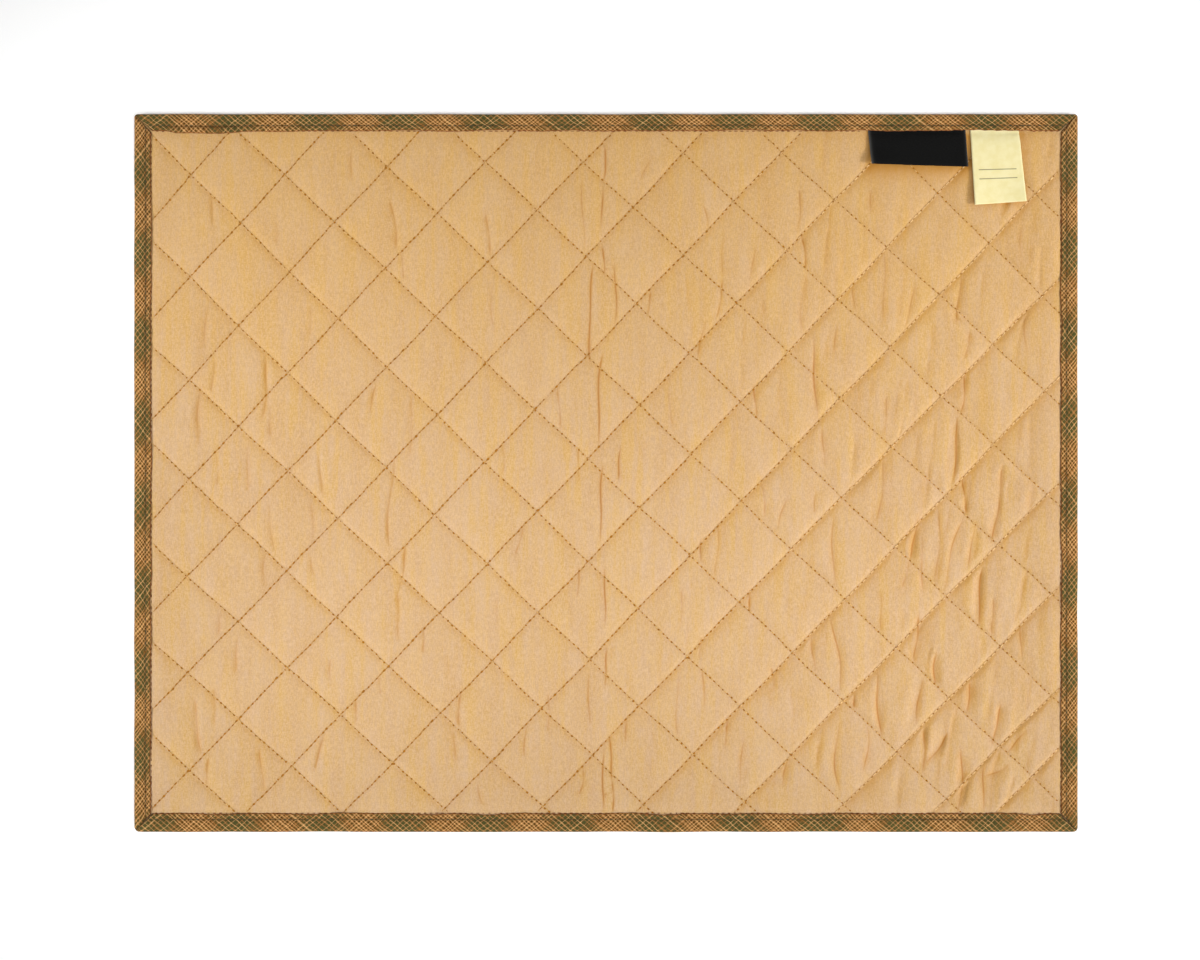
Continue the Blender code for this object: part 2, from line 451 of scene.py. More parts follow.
def makeSatin():
    material = startMaterial("blackSatin", 0.72, specular=0.05)
    source = ownMap("labelWay")
    ribs = reckon("SINE", times(part(source, "Y"), 100 * math.tau / satin["ribPitch"]))
    floats = noise(stretched(source, (90, 420, 1)), 1.0)
    colour = blend(remap(floats, 0.3, 0.7), satin["dark"], satin["light"])
    # paler along the label's left edge, and a little along its right
    colour = blend(attribute("edgeShade"), colour, satin["paleEdge"])
    finishShader(colour, times(floats, 1.2, ribs), 0.25, 0.06)
    return material


tape = {
    "dark": (225, 212, 154),
    "light": (230, 219, 168),
    "rules": (17.4, 21.8),  # mm below the binding
    "ruleWide": 0.36,
    "ruleMiddle": 11.8,
    "ruleHalfLong": 8.9,
    "ruleInk": (96, 90, 66),
    "inkShare": 0.75,
}


def makeTape():
    material = startMaterial("paleTape", 0.62, sheen=0.05, specular=0.3)
    place = stretched(ownMap("labelWay"), (100, 100, 1))
    cloudy = noise(place, 0.22, 3.0)
    colour = blend(remap(cloudy, 0.3, 0.7), tape["dark"], tape["light"])
    fromMiddle = reckon("ABSOLUTE", plus(part(place, "X"), -tape["ruleMiddle"]))
    for rule in tape["rules"]:
        nearRule = reckon("ABSOLUTE", plus(part(place, "Y"), -rule))
        onRule = remap(nearRule, tape["ruleWide"] * 0.4, tape["ruleWide"] * 0.8, 1.0, 0.0)
        onRule = times(onRule, reckon("LESS_THAN", fromMiddle, tape["ruleHalfLong"]))
        colour = blend(times(onRule, tape["inkShare"]), colour, tape["ruleInk"])
    weave = plus(*(threadWave(place, 0.4, 0.2, axis) for axis in "XY"))
    finishShader(colour, times(cloudy, 2.0, weave), 0.15, 0.06)
    return material


cottonCloth = makeCotton()
checkCloth = makeCheck()
satinCloth = makeSatin()
tapeCloth = makeTape()
threadOf = {name: makeThread(name, *made) for name, made in threads.items()}


def makeTable():
    table = added(bpy.ops.mesh.primitive_plane_add, "paleTable", size=studio["tableWide"])
    material = startMaterial("paleTableTop", 0.75, specular=0.2)
    shader = making["shader"]
    shader.inputs["Emission Color"].default_value = (1, 1, 1, 1)
    shader.inputs["Emission Strength"].default_value = studio["tableGlow"]
    colour = blend(noise(placeInMm(), 0.004), (0.945, 0.945, 0.94, 1), (0.965, 0.965, 0.96, 1))
    making["tree"].links.new(colour, shader.inputs["Base Color"])
    table.data.materials.append(material)


makeTable()
print("materials made")

# Quilting: how far up each seam crosses the mat's middle, its angle, and how far it bows, in mm and degrees

fallingSeams = {
    "direction": -1,
    "height": (337, 296, 233, 191, 141.5, 96.5, 48.5, -1.5, -51.5, -98.5, -144, -190.5, -234.5, -283, -334),
    "angle": (44.0, 44.7, 41.6, 43.2, 42.7, 43.2, 43.4, 43.3, 43.8, 42.7, 43.2, 41.9, 41.8, 42.6, 42.8),
    "bow": (1.5, 1, -3.5, 0.5, 0, -1, 0, -2, 3.5, 7.5, -2, 6, 2, -2.5, 1.5),
}
risingSeams = {
    "direction": 1,
    "height": (368, 316.5, 263, 213, 163, 115.5, 67, 16, -34, -82.5, -130.5, -180, -231, -277.5, -325, -371.5),
    "angle": (47.3, 47.8, 46.6, 46.1, 46.1, 46.8, 46.2, 46.2, 46.1, 46.0, 46.2, 45.1, 46.3, 44.7, 45.3, 47.9),
    "bow": (-4.5, 3, -3, -6, -1.5, 5, 0, 2.5, 4, 1.5, -5, 5.5, -5, 3.5, -3, -6.5),
}

quilt = {
    "halfWide": 230.0,
    "halfDeep": 175.0,
    "lips": {"far": 8.3, "near": 9.1, "left": 8.25, "right": 8.25},  # how far the binding comes in
    "tuck": 1.6,  # the cloth's rim, inside the binding
    "extraSeams": 2,
    "extraGap": 48.0,
    "slopesTogether": 1.98,
    "bowSpan": 219.0,
    "wander": 0.35,
    "wanderWave": 47.0,
    "seamGap": 34.5,
    "topSplits": 16,
    "underSplits": 8,
    "rowsToSeam": 0.5,  # how much closer the faces are beside a seam
    "seamTop": 2.05,
    "seamUnder": 1.15,
    "rimTop": 2.1,
    "rimUnder": 0.9,
    "crown": 1.14,
    "fullness": (0.86, 1.12),  # the least and most of a cell's own
    "flatterAtLeft": 0.2,
    "softness": 3.4,
    "crispness": 0.9,
    "crispShare": 0.22,
    "swell": 0.11,
    "ruffle": 0.05,
    "ripple": (0.035, 0.16, 0.1),  # everywhere, more at the right, and at the near right corner
    "seamPucker": 0.10,
    "seamShade": 0.09,
    "stepShade": 0.4,
    "mostTint": 0.55,
    "flankFull": 0.16,
}

creasing = {
    "gain": 0.75,
    "gainRight": 0.1,
    "gainCorner": 0.35,  # more at the near right corner
    "broaderRight": 0.4,
    "bow": 0.028,  # of its length
    "wave": 0.012,
    "middleTint": 2.4,  # darker down the middle, where the mat was once folded
    "finerOver": (0.07, 0.14),  # mm deep, past which a crease gets smaller faces once and again
    "halfCell": 24,
    "foldsInCell": (1.0, 5.0),  # how many fine folds a cell has at the left and at the right
    "foldLean": (-0.07, 0.17),
    "foldDeep": (0.11, 0.36),
}

# Main creases: head across and up, foot across and up, half width and depth, all in mm
creases = (
    (-1, 160, -1.5, 142, 1.1, 0.55), (-2, 141, -3, 119, 1.3, 0.3), (-2, 111, -1, 97, 1.1, 0.35),
    (-1.5, 58, -3, 13, 1.1, 0.55), (-1.5, 3, -2.5, -33, 1.1, 0.5), (-1, -45, -1, -76, 1.1, 0.3),
    (-6, 100, -7.5, 55, 1.3, 0.6), (4, 103, 4, 70, 1.2, 0.25), (0.5, -85, -0.5, -106, 1.2, 0.3),
    (2, -129, 3, -149, 1.2, 0.6), (-1.5, -134, -1.5, -166, 1.2, 0.35), (3.2, -150, 3.5, -166, 1.2, 0.35),
    (100.5, 68, 103, 26, 1.3, 0.7), (105, 23, 106.5, 3, 2.4, 0.45), (174.5, 49, 173, 29, 1.8, 0.8),
    (171, 28, 168.5, -6, 1.3, 0.8), (173.5, -2, 175.5, -20, 1.5, 0.75), (193, 4, 192, -13, 1.8, 0.4),
    (192, -12, 188, -33, 1.5, 0.8), (137, 38, 135.5, 18, 2.0, 0.35), (135.5, 8, 132, -25, 2.2, 0.4),
    (152, -22, 148, -43, 1.6, 0.85), (148, -43, 144.5, -56, 1.3, 0.35), (162.5, -18, 160.5, -53, 1.5, 0.4),
    (174.5, -21, 165, -57, 1.5, 0.45), (180, -24, 176, -46, 1.3, 0.4), (75.5, -4, 77.5, -23, 1.2, 0.35),
    (88.5, -11, 83, -29, 1.3, 0.4), (102.5, -8, 101.5, -21, 1.1, 0.3), (111, -19, 111.5, -56, 1.7, 0.4),
    (153.5, -30, 154, -58, 1.3, 0.4), (183.5, -46, 182, -76, 1.7, 0.8), (189, -61, 188, -79, 1.7, 0.45),
    (134, -58, 134, -77, 1.6, 0.4), (152.5, -70, 150, -91, 1.9, 0.85), (161, -87, 160.5, -104, 1.2, 0.7),
    (100, -79, 102.5, -98, 1.3, 0.4), (109, -69, 114, -108, 1.4, 0.5), (132, -96, 134, -128, 1.3, 0.8),
    (154.5, -99, 151, -123, 2.0, 0.45), (177.5, -102, 176, -117, 1.8, 0.85),
    (192.5, -113, 188.5, -132, 1.4, 0.75), (121, -107, 121, -115, 1.2, 0.6),
    (80.5, -94, 82, -105, 1.3, 0.4), (114, -121, 114, -156, 1.7, 0.5), (127.5, -124, 125, -146, 2.2, 0.4),
    (166.5, -127, 155.5, -142, 1.9, 0.7), (155, -124, 154.5, -146, 1.5, 0.4),
    (173, -134, 171.5, -167, 1.7, 0.5), (184, -142, 184, -166, 2.2, 0.45), (206, -124, 196, -136, 2.4, 0.4),
    (196.5, -142, 184, -148, 1.9, 0.35), (88.5, -140, 86, -153, 1.4, 0.45), (202, -74, 203, -91, 1.5, 0.35),
    (94.5, 139, 93.5, 118, 1.4, 0.4), (95.5, 116, 97.5, 99, 1.2, 0.65), (98, 98, 95.5, 69, 1.3, 0.35),
    (129, 139, 129, 126, 2.0, 0.4), (112.5, 73, 110.5, 57, 1.3, 0.4), (135.5, 107, 135, 74, 2.2, 0.4),
    (151, 93, 145, 69, 1.4, 0.35), (173, 97, 170.5, 73, 1.3, 0.6), (177.5, 69, 175, 56, 1.6, 0.45),
    (203, 121, 203, 99, 2.4, 0.25), (120, 93, 121, 79, 1.2, 0.35), (204, 81, 205, 57, 1.7, 0.3),
    (-23.5, 43, -22, 21, 1.2, 0.4), (-13, 13, -13, -4, 1.2, 0.35), (-13, -46, -14, -61, 1.3, 0.55),
    (-40, -26, -44, -40, 1.2, 0.45), (-50.5, 15, -50.5, -1, 1.1, 0.3), (7, 13, 6, -4, 1.3, 0.35),
    (46, -32, 46, -43, 1.3, 0.6), (55, -24, 53, -51, 1.3, 0.45), (72, 43, 73.5, 27, 1.2, 0.6),
    (30, 41, 33, 21, 1.3, 0.25), (-12, 146, -10.5, 108, 1.2, 0.35), (-58.5, 127, -56, 106, 1.2, 0.55),
    (-55.5, 98, -54, 64, 1.8, 0.25), (23, 156, 16, 142, 2.0, 0.3), (47, 131, 49.5, 119, 1.3, 0.4),
    (57, 121, 56.5, 95, 2.0, 0.3), (57, 94, 54.5, 76, 1.2, 0.55), (73, 113, 69.5, 92, 1.3, 0.35),
    (22, 89, 20.5, 77, 1.2, 0.5), (49, 76, 44.5, 56, 1.3, 0.4), (-192, 136, -191.5, 121, 1.2, 0.4),
    (-124, 161, -124, 141, 1.3, 0.4), (-105, 133, -102, 109, 1.2, 0.6), (-99.5, 107, -98.5, 94, 1.2, 0.4),
    (-161, 123, -161, 111, 1.5, 0.3), (-194, 84, -196.5, 59, 1.8, 0.4), (-144, 81, -144, 67, 2.0, 0.35),
    (-166, 58, -167.5, 26, 1.4, 0.6), (-191, 56, -193, 39, 1.5, 0.45), (-164, 33, -164, 17, 1.5, 0.4),
    (-198, 41, -199, 14, 2.2, 0.6), (-112, 43, -115.5, 26, 1.2, 0.55), (-94.5, 40, -95.5, 7, 1.5, 0.4),
    (-141, 11, -138.5, -12, 1.2, 0.4), (-190, 10, -189.5, -7, 1.2, 0.35),
    (-174.5, 16, -175, -11, 2.0, 0.35), (-103, 6, -106, -36, 1.2, 0.6), (-164.5, -12, -162, -38, 1.4, 0.35),
    (-144, -12, -144, -36, 1.8, 0.35), (-97.5, -35, -101, -58, 1.2, 0.65), (-166, -37, -166, -57, 2.0, 0.4),
    (-144.5, -39, -142, -51, 1.6, 0.4), (-101.5, -57, -101, -81, 1.6, 0.65),
    (-188, -67, -189, -79, 1.8, 0.4), (-180, -79, -181, -98, 1.7, 0.45), (-134, -89, -134, -103, 1.3, 0.45),
    (-200, -110, -197, -137, 1.5, 0.65), (-191, -104, -191, -123, 1.9, 0.4),
    (-193.5, -138, -195, -153, 1.3, 0.6), (-169, -133, -166.5, -156, 1.8, 0.65),
    (-137.5, -127, -143, -146, 1.3, 0.6), (-122, -110, -122, -122, 1.2, 0.55),
    (-111, -99, -110, -109, 1.2, 0.4), (-89, -76, -89, -88, 1.2, 0.5),
    (-70.5, -107, -71.5, -123, 1.4, 0.75), (-39, -122, -40, -139, 1.2, 0.45),
    (-28, -107, -28, -126, 1.3, 0.35), (-8.5, -95, -8, -126, 1.2, 0.4), (-11, -144, -13, -157, 1.4, 0.5),
    (-62.5, -149, -60, -163, 1.2, 0.4), (10, -119, 9, -133, 1.3, 0.45), (37, -56, 36, -76, 2.0, 0.3),
    (46.5, -80, 45.5, -91, 1.3, 0.4), (35.5, -98, 35, -129, 1.8, 0.35), (47, -94, 48, -116, 1.6, 0.4),
    (59.5, -120, 58, -133, 1.3, 0.55), (70, -57, 70, -69, 1.3, 0.6), (67, -128, 65, -151, 2.6, 0.4),
    (-75, -124, -74, -141, 1.7, 0.4),
)


def between(first, second, share):
    return first * (1 - share) + second * share


def seamRows(seams):
    # the seams with a few more beyond the mat, whose cells are cut off at its rim
    dice = np.random.default_rng(5 + seams["direction"])
    heights = list(seams["height"])
    for turn in range(quilt["extraSeams"]):
        heights.insert(0, heights[0] + quilt["extraGap"])
        heights.append(heights[-1] - quilt["extraGap"])
    angles = np.pad(seams["angle"], quilt["extraSeams"], mode="edge")
    bows = np.pad(seams["bow"], quilt["extraSeams"])
    slopes = seams["direction"] * np.tan(np.radians(angles))
    return np.array(heights, float), slopes, bows, dice.uniform(0, 7, len(heights))


seamsOf = {each["direction"]: seamRows(each) for each in (fallingSeams, risingSeams)}
rowsOf = {direction: len(rows[0]) for direction, rows in seamsOf.items()}


def seamUp(direction, row, across):
    # how far up whole seam number row is at that place across
    heights, slopes, bows, phases = seamsOf[direction]
    wander = quilt["wander"] * np.sin(math.tau * across / quilt["wanderWave"] + phases[row])
    return heights[row] + slopes[row] * across + bows[row] * (across / quilt["bowSpan"]) ** 2 + wander


def seamUpBetween(direction, number, across):
    row = np.clip(np.floor(number).astype(int), 0, rowsOf[direction] - 2)
    return between(seamUp(direction, row, across), seamUp(direction, row + 1, across), number - row)


def seamNumber(direction, across, up):
    number = np.zeros(np.shape(across))
    here = seamUp(direction, 0, across)
    for row in range(rowsOf[direction] - 1):
        below = seamUp(direction, row + 1, across)
        share = (here - up) / (here - below)
        number = np.where((share >= 0) & (share < 1), row + share, number)
        here = below
    return number


def toSeam(number):
    # mm to the nearest seam of that family
    return np.abs(number - np.round(number)) * quilt["seamGap"]


def seamCrossing(falling, rising):
    across = np.zeros(np.shape(falling))
    for turn in range(12):
        gap = seamUpBetween(-1, falling, across) - seamUpBetween(1, rising, across)
        across += gap / quilt["slopesTogether"]
    return across, seamUpBetween(1, rising, across)


def cellFolds(dice):
    # the fine folds of each cell, side by side from seam to seam, more of them at the right
    rows = []
    few, many = creasing["foldsInCell"]
    leftLean, rightLean = creasing["foldLean"]
    half = creasing["halfCell"]
    for falling in range(rowsOf[-1] - 1):
        for rising in range(rowsOf[1] - 1):
            centre = seamCrossing(np.array([falling + 0.5]), np.array([rising + 0.5]))
            middle, level = (float(each[0]) for each in centre)
            if abs(middle) > 240 or abs(level) > 185:
                continue
            atRight = smooth(middle - 0.25 * level, -60, 170)
            lean = leftLean + (rightLean - leftLean) * atRight + dice.normal(0, 0.06)
            busy = dice.uniform(0.3, 1.5)
            for turn in range(dice.poisson(busy * (few + (many - few) * atRight))):
                off = dice.uniform(-0.8, 0.8)
                tall = half * (1 - abs(off)) * dice.uniform(0.65, 1.1)
                place = middle + off * half
                shift = level + dice.uniform(-0.3, 0.3) * tall
                bend = (lean + dice.normal(0, 0.05)) * tall
                deep = dice.uniform(*creasing["foldDeep"]) * (0.55 + 0.55 * atRight) * min(1.0, tall / 10)
                ends = (place + bend, shift + tall, place - bend, shift - tall)
                rows.append((*ends, dice.uniform(0.65, 1.35), deep, dice.uniform(0.3, 1.2)))
    return rows


def creaseDepth(across, up):
    # the creases' depth and painted shade, how far off the strongest of them is, and how much painted shade
    # its line gets
    depth, shade, lineShade = (np.zeros(np.shape(across)) for each in range(3))
    offLine = np.full(np.shape(across), 3.0)
    dice = np.random.default_rng(11)
    rows = []
    for row in creases:
        atMiddle = abs(row[0]) < 8 and abs(row[2]) < 8
        rows.append((*row, creasing["middleTint"] if atMiddle else 1.0))
    rows += cellFolds(dice)
    for turn, (headAcross, headUp, footAcross, footUp, width, deep, tint) in enumerate(rows):
        runAcross, runUp = footAcross - headAcross, footUp - headUp
        length = math.hypot(runAcross, runUp)
        bow = dice.normal(0, creasing["bow"]) * length
        wave = dice.uniform(0, 7)
        steep = 1 if dice.uniform() < 0.7 else -1  # the side that falls more sharply
        along = ((across - headAcross) * runAcross + (up - headUp) * runUp) / length**2
        near = (along > -0.15) & (along < 1.15) & (np.abs(across - headAcross) < 14 + abs(runAcross))
        near = np.flatnonzero(near)
        along = along[near]
        off = ((across[near] - headAcross) * runUp - (up[near] - headUp) * runAcross) / length
        off = off - bow * np.sin(math.pi * along) - creasing["wave"] * length * np.sin(along * 7 + wave)
        taper = smooth(along, -0.13, 0.22) * (1 - smooth(along, 0.78, 1.13))
        taper = np.maximum(taper * (1 + 0.3 * np.sin(along * dice.uniform(4, 9) + wave)), 0)
        spreadOut = dice.choice((-0.3, 0.3))
        broader = 1 + creasing["broaderRight"] * smooth(headAcross, 60, 170)
        wide = width * broader * (0.5 + 0.35 * taper) * (1 + spreadOut * (2 * along - 1))
        deep *= creasing["gain"] + creasing["gainRight"] * smooth(headAcross, 20, 170)
        deep *= 1 + creasing["gainCorner"] * smooth(headAcross - 0.6 * headUp, 150, 270)
        away = np.where(off * steep > 0, np.abs(off) * 1.4, np.abs(off) * 0.7) / wide
        bank = np.exp(-(((away - 2.3) / 1.3) ** 2))
        depth[near] += deep * taper * (np.exp(-(away**1.25)) - 0.2 * bank)
        shade[near] += 0.8 * tint * deep * taper * np.exp(-((off / wide / 0.7) ** 2))
        if turn < len(creases):
            here = 1.1 * tint * deep * taper**1.5 * np.exp(-((off / 1.1) ** 2))
            here *= 0.65 + 0.35 * smooth(headAcross, -90, -10)
            stronger = here > lineShade[near]
            lineShade[near[stronger]] = here[stronger]
            offLine[near[stronger]] = off[stronger]
    return depth, shade, np.clip(offLine, -3, 3), np.clip(lineShade - 0.04, 0, 0.7)


def insideLips(across, up):
    # how far inside the binding's inner edge
    lips = quilt["lips"]
    sideways = quilt["halfWide"] - np.where(across > 0, lips["right"], lips["left"]) - np.abs(across)
    lengthways = quilt["halfDeep"] - np.where(up > 0, lips["far"], lips["near"]) - np.abs(up)
    return np.minimum(sideways, lengthways)


def quiltHeight(across, up, fine=True):
    # height of the backing in mm and how far it is painted towards the shade colour
    falling, rising = seamNumber(-1, across, up), seamNumber(1, across, up)
    toFalling, toRising = toSeam(falling), toSeam(rising)
    fullness = np.random.default_rng(3).uniform(*quilt["fullness"], (24, 24))
    fullness = fullness[falling.astype(int), rising.astype(int)]
    fullness *= 1 - quilt["flatterAtLeft"] * smooth(-across, -60, 200)

    def puffAt(near):
        soft, crisp = 1 - np.exp(-near / quilt["softness"]), 1 - np.exp(-near / quilt["crispness"])
        return between(soft, crisp, quilt["crispShare"])

    puff = puffAt(toFalling) * puffAt(toRising)
    height = quilt["seamTop"] + quilt["crown"] * fullness * puff
    height += quilt["swell"] * puff * softNoise(across, up, 30, 21, 2.0)
    shade = np.zeros(np.shape(across))
    if fine:
        depth, shade = creaseDepth(across, up)[:2]
        near = np.minimum(toFalling, toRising)
        height -= depth * smooth(near, 0.0, 2.4)
        height += quilt["ruffle"] * softNoise(across, up, 7, 22, 2.5) * smooth(near, 0.5, 3.0)
        everywhere, atRight, atCorner = quilt["ripple"]
        ripple = everywhere + atRight * smooth(across - 0.3 * up, -20, 190)
        ripple += atCorner * smooth(across - 0.6 * up, 150, 270)
        lean = across - 0.15 * up * smooth(across, 0, 120)
        rippled = softNoise(lean, up, 10, 24, 4.5) + 0.45 * softNoise(lean, up, 5.5, 25, 5.0)
        height += ripple * rippled * smooth(near, 0.3, 3.5)
        pucker = np.sin(across * 1.0 + 2.2 * softNoise(across, up, 40, 23))
        height += quilt["seamPucker"] * (pucker * np.exp(-near / 3.0) * smooth(near, 0.2, 1.2))
        # towards the right the cloth steps down past a rising seam, bright before it and shaded after it
        past = ((rising + 0.02) % 1 - 0.02) * quilt["seamGap"]
        stepped = smooth(across - 0.4 * up, 0, 220)
        beside = 1 - stepped * (toRising < 3) * (past > 3)
        shade += quilt["seamShade"] * np.exp(-near / 1.6) * beside
        shade += quilt["stepShade"] * stepped * np.exp(-np.maximum(past, 0) / 3.2)
    held = smooth(insideLips(across, up), -0.8, 4.0) ** 0.8
    return between(quilt["rimTop"], height, held), shade


def quiltUnder(across, up):
    near = np.minimum(*(toSeam(seamNumber(direction, across, up)) for direction in (-1, 1)))
    height = quilt["seamUnder"] * np.exp(-((near / 3.4) ** 1.3))
    height = np.where(near > 9.5, 0, height)
    return between(quilt["rimUnder"], height, smooth(insideLips(across, up), 0.0, 7.0))


def flankOf(piece, across):
    # how far the cloth turns away from the light, which comes from the near left and the near right
    facing = vectorsOf(piece.data.vertices, "normal")
    towards = -0.33 + 0.84 * smooth(across, -100, 100)
    darker = -(towards * facing[:, 0] - 0.34 * facing[:, 1]) / facing[:, 2]
    return np.clip(darker / quilt["flankFull"], 0, 1)


def layQuiltSide(name, splits):
    # a grid whose lines follow the seams, trimmed to the mat's outline
    fallingRows, risingRows = rowsOf[-1] - 1, rowsOf[1] - 1
    side, start = addGrid(name, fallingRows * splits, risingRows * splits)

    def gathered(number):
        return number - quilt["rowsToSeam"] / (math.tau) * np.sin(math.tau * number)

    falling = gathered((1 - start[:, 0]) / 2 * fallingRows)
    rising = gathered((1 - start[:, 1]) / 2 * risingRows)
    across, up = seamCrossing(falling, rising)
    putPoints(side, across, up, np.zeros(len(across)))
    bpy.ops.object.mode_set(mode="EDIT")
    for wide, deep in ((1, 0), (-1, 0), (0, 1), (0, -1)):
        reach = quilt["halfWide" if wide else "halfDeep"] - quilt["tuck"]
        bpy.ops.mesh.select_all(action="SELECT")
        bpy.ops.mesh.bisect(
            plane_co=(wide * reach * mm, deep * reach * mm, 0), plane_no=(wide, deep, 0), clear_outer=True
        )
    bpy.ops.mesh.select_all(action="SELECT")
    bpy.ops.mesh.remove_doubles(threshold=0.00005)
    stopEditing()
    return side


def refineCreases(side, over):
    centres = vectorsOf(side.data.polygons, "center") / mm
    creased = creaseDepth(centres[:, 0], centres[:, 1])
    pick(side)
    startEditing("DESELECT")
    bpy.ops.mesh.select_mode(type="FACE")
    bpy.ops.object.mode_set(mode="OBJECT")
    side.data.polygons.foreach_set("select", (np.abs(creased[0]) > over) | (creased[3] > 1.4 * over))
    bpy.ops.object.mode_set(mode="EDIT")
    bpy.ops.mesh.subdivide(number_cuts=1)
    stopEditing()


# The labels' left, right and foot, and how far and how deep their shade falls on the cloth
labelShades = ((128.5, 176.5, 149.6, 4.2, 1.15), (178.6, 204.0, 131.5, 1.6, 0.5))


def underLabels(across, up):
    shade = np.zeros(np.shape(across))
    for left, right, foot, reach, deep in labelShades:
        beside = np.maximum(np.maximum(left - across, across - right), 0)
        below = np.maximum(foot - up, 0)
        shade = np.maximum(shade, deep * np.exp(-np.hypot(beside / 1.5, below / reach)) * (up < 166))
    return shade


def makePanel():
    top = layQuiltSide("quiltedMat", quilt["topSplits"])
    for over in creasing["finerOver"]:
        refineCreases(top, over)
    across, up = (pointsOf(top) / mm)[:, :2].T
    height, shade = quiltHeight(across, up)
    putPoints(top, across, up, height)
    most = quilt["mostTint"]
    shade = most * (1 - np.exp(-shade / most)) + underLabels(across, up)
    offLine, lineShade = creaseDepth(across, up)[2:]
    shades = {"foldShade": np.clip(shade, 0, 0.9), "creaseOff": offLine, "creaseLineShade": lineShade}
    shades["flankShade"] = flankOf(top, across)
    under = layQuiltSide("quiltedUnder", quilt["underSplits"])
    across, up = (pointsOf(under) / mm)[:, :2].T
    putPoints(under, across, up, quiltUnder(across, up))
    for name, values in shades.items():
        writeShade(top, name, values)
        writeShade(under, name, np.zeros(len(across)))
    pick(under)
    startEditing("SELECT")
    bpy.ops.mesh.flip_normals()
    pick(top, under)
    bpy.ops.object.join()
    startEditing("DESELECT")
    bpy.ops.mesh.select_mode(type="EDGE")
    bpy.ops.mesh.select_non_manifold()
    bpy.ops.mesh.bridge_edge_loops()
    stopEditing()
    bpy.ops.object.shade_smooth()
    top.data.materials.append(cottonCloth)
    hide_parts("quilted_panel")
    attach(top, "root")
    return top


panel = makePanel()
print("quilted mat made", sum(len(face.vertices) - 2 for face in panel.data.polygons))

# Stitches, each modelled once and set along the seams

stitching = {
    "pitch": 2.85,
    "thread": (2.05, 0.46, 0.34),  # length, width and height
    "hole": (1.05, 1.05 * 0.8, 0.5),
    "threadLift": 0.10,
    "holeLift": 0.20,
    "uneven": 0.2,
    "sideways": 0.1,
    "jitter": 0.14,
    "seams": {
        "falling": {"direction": -1, "colour": "goldenThread", "fuller": 0, "longer": 1.1, "fainter": 0.14},
        "rising": {"direction": 1, "colour": "sunlitThread", "fuller": 0.3, "longer": 1.45, "fainter": 0.4},
    },
}


def stitchModel(operator, **settings):
    model = added(operator, "stitchModel", radius=0.5, **settings)
    points, faces = pointsOf(model), np.array([list(face.vertices) for face in model.data.polygons])
    bpy.data.objects.remove(model)
    return points, faces


def setAlong(name, model, centres, ways, sizes, colour, facing=1, share=1.0):
    points, faces = model
    count = len(centres)
    grow = np.random.default_rng(61).normal(1, stitching["uneven"], (count, 2, 1))
    grow *= np.reshape(share, (-1, 1, 1))
    sides = np.stack((-ways[:, 1], ways[:, 0], np.zeros(count)), axis=1) * facing
    ups = np.tile((0, 0, facing), (count, 1))
    placed = (
        centres[:, None, :]
        + points[None, :, 0, None] * ways[:, None, :] * sizes[0] * grow[:, :1]
        + points[None, :, 1, None] * sides[:, None, :] * sizes[1] * grow[:, 1:]
        + points[None, :, 2, None] * ups[:, None, :] * sizes[2]
    ).reshape(-1, 3)
    linked = (faces[None] + np.arange(count)[:, None, None] * len(points)).reshape(-1, 3)
    mesh = bpy.data.meshes.new(name)
    mesh.from_pydata((placed * mm).tolist(), [], linked.tolist())
    mesh.polygons.foreach_set("use_smooth", [True] * len(linked))
    mesh.update()
    piece = bpy.data.objects.new(name, mesh)
    bpy.context.collection.objects.link(piece)
    mesh.materials.append(threadOf[colour])
    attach(piece, "root")
    return piece


def alongSeams(direction):
    # middles and directions of the stitches on every seam of one family, inside the binding
    dice = np.random.default_rng(31 + direction)
    middles, ways = [], []
    for row in range(rowsOf[direction]):
        across = np.arange(-quilt["halfWide"], quilt["halfWide"], 0.2)
        up = seamUp(direction, row, across)
        kept = insideLips(across, up) > 0.2
        if kept.sum() < 20:
            continue
        across, up = across[kept], up[kept]
        run = np.concatenate(([0], np.cumsum(np.hypot(np.diff(across), np.diff(up)))))
        marks = np.arange(dice.uniform(0.5, 2.5), run[-1] - 1.2, stitching["pitch"])
        marks += dice.normal(0, stitching["jitter"], len(marks))
        placed, before, after = (
            np.stack((np.interp(marks + step, run, across), np.interp(marks + step, run, up)))
            for step in (0, -0.5, 0.5)
        )
        ahead, rise = (after - before) / np.hypot(*(after - before))
        aside = dice.normal(0, stitching["sideways"], len(marks))
        middles.append(np.stack((placed[0] - aside * rise, placed[1] + aside * ahead), axis=1))
        ways.append(np.stack((ahead, rise, 0 * rise), axis=1))
    middles, ways = np.concatenate(middles), np.concatenate(ways)
    # none where the labels go in
    sewnUnder = (middles[:, 0] > 126) & (middles[:, 0] < 206) & (middles[:, 1] > 162)
    return middles[~sewnUnder], ways[~sewnUnder]


def onCloth(places, facing, lift):
    # on the backing, or beneath on the face
    if facing > 0:
        height = quiltHeight(places[:, 0], places[:, 1], False)[0] + lift
    else:
        height = quiltUnder(places[:, 0], places[:, 1]) - lift / 2
    return np.column_stack((places, height))


threadModel = stitchModel(bpy.ops.mesh.primitive_ico_sphere_add, subdivisions=1)
holeModel = stitchModel(bpy.ops.mesh.primitive_circle_add, vertices=7, fill_type="TRIFAN")
# a hole is dished, its middle pressed in
holeModel[0][:, 2] = np.where(np.hypot(holeModel[0][:, 0], holeModel[0][:, 1]) < 0.1, -0.15, 0)


